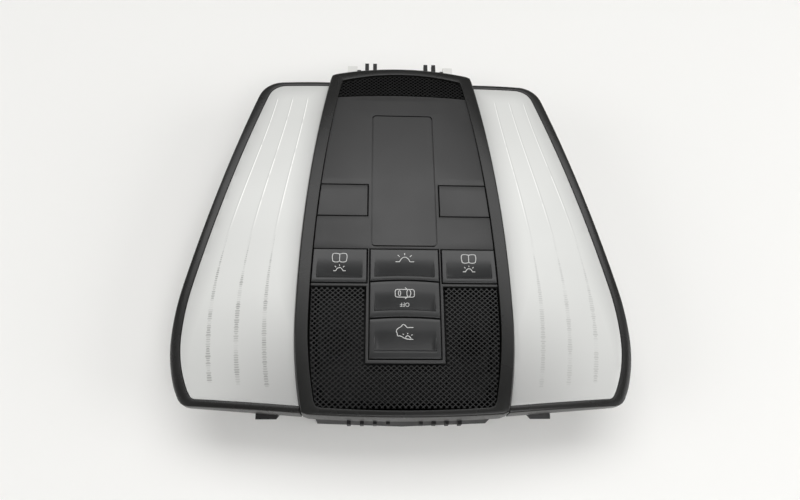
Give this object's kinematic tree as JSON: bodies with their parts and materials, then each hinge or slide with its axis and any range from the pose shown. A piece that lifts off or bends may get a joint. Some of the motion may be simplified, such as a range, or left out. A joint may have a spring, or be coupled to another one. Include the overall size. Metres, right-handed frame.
{
  "type": "car dome light",
  "caption": "Overhead car dome light: a barrel-shaped switch console with push buttons and mesh grilles between milky lamp wings in dark rims.",
  "frame": {"origin": "centre of the flat back of the rear housing, in the plane that it rests on", "axes": "+X across the car to the right lamp wing, +Y to the narrow front end with the prongs, +Z out of the lit face"},
  "size_m": [0.2584, 0.2493, 0.052],
  "materials": {
    "console_plastic": "fine-grained moulded plastic, dark charcoal",
    "panel_plastic": "satin moulded plastic, dark grey",
    "button_plastic": "satin moulded plastic, dark grey",
    "grille_plastic": "moulded mesh, near black",
    "milky_lens": "milky diffusing plastic, satin",
    "housing_plastic": "plain moulded plastic, black",
    "clip_plastic": "translucent whitish plastic",
    "spring_steel": "blackened spring steel",
    "reflector_plastic": "white reflecting plastic",
    "socket_plastic": "heat-proof plastic",
    "bulb_glass": "clear glass",
    "sensor_can": "drawn can",
    "board_laminate": "coated laminate, green",
    "light_plastic": "small cast lamps",
    "connector_plastic": "moulded plastic, natural",
    "switch_rubber": "silicone rubber"
  },
  "bodies": {
    "console": {"centre_bezel": "console_plastic", "left_lens_rim": "console_plastic", "right_lens_rim": "console_plastic", "left_lens": "milky_lens", "right_lens": "milky_lens", "switch_panel": "panel_plastic", "left_blank_cover": "panel_plastic", "right_blank_cover": "panel_plastic", "upper_grille": "grille_plastic", "lower_grille": "grille_plastic", "microphone": "sensor_can", "left_motion_sensor": "sensor_can", "right_motion_sensor": "sensor_can", "rear_housing": "housing_plastic", "left_front_clip": "clip_plastic", "right_front_clip": "clip_plastic", "left_spring_clip": "spring_steel", "right_spring_clip": "spring_steel", "left_reflector": "reflector_plastic", "right_reflector": "reflector_plastic", "left_bulb_socket": "socket_plastic", "right_bulb_socket": "socket_plastic", "left_bulb": "bulb_glass", "right_bulb": "bulb_glass", "switch_carrier": "housing_plastic", "circuit_board": "board_laminate", "symbol_lights": "light_plastic", "board_connector": "connector_plastic", "dome_switch_dome": "switch_rubber", "motion_switch_dome": "switch_rubber", "auto_switch_dome": "switch_rubber", "right_reading_switch_dome": "switch_rubber", "left_reading_switch_dome": "switch_rubber"},
    "dome_button": {"dome_button": "button_plastic"},
    "motion_sensor_button": {"motion_sensor_button": "button_plastic"},
    "auto_light_button": {"auto_light_button": "button_plastic"},
    "right_reading_button": {"right_reading_button": "button_plastic"},
    "left_reading_button": {"left_reading_button": "button_plastic"}
  },
  "joints": [
    {"name": "dome_press", "type": "slide", "parent": "console", "child": "dome_button", "axis": [0, 0, -1], "range_m": [0, 0.0015], "stiffness_N_per_m": 2000, "deforming": ["dome_switch_dome"]},
    {"name": "motion_sensor_press", "type": "slide", "parent": "console", "child": "motion_sensor_button", "axis": [0, 0, -1], "range_m": [0, 0.0015], "stiffness_N_per_m": 2000, "deforming": ["motion_switch_dome"]},
    {"name": "auto_light_press", "type": "slide", "parent": "console", "child": "auto_light_button", "axis": [0, 0, -1], "range_m": [0, 0.0015], "stiffness_N_per_m": 2000, "deforming": ["auto_switch_dome"]},
    {"name": "right_reading_press", "type": "slide", "parent": "console", "child": "right_reading_button", "axis": [0, 0, -1], "range_m": [0, 0.0015], "stiffness_N_per_m": 2000, "deforming": ["right_reading_switch_dome"]},
    {"name": "left_reading_press", "type": "slide", "parent": "console", "child": "left_reading_button", "axis": [0, 0, -1], "range_m": [0, 0.0015], "stiffness_N_per_m": 2000, "deforming": ["left_reading_switch_dome"]}
  ]
}
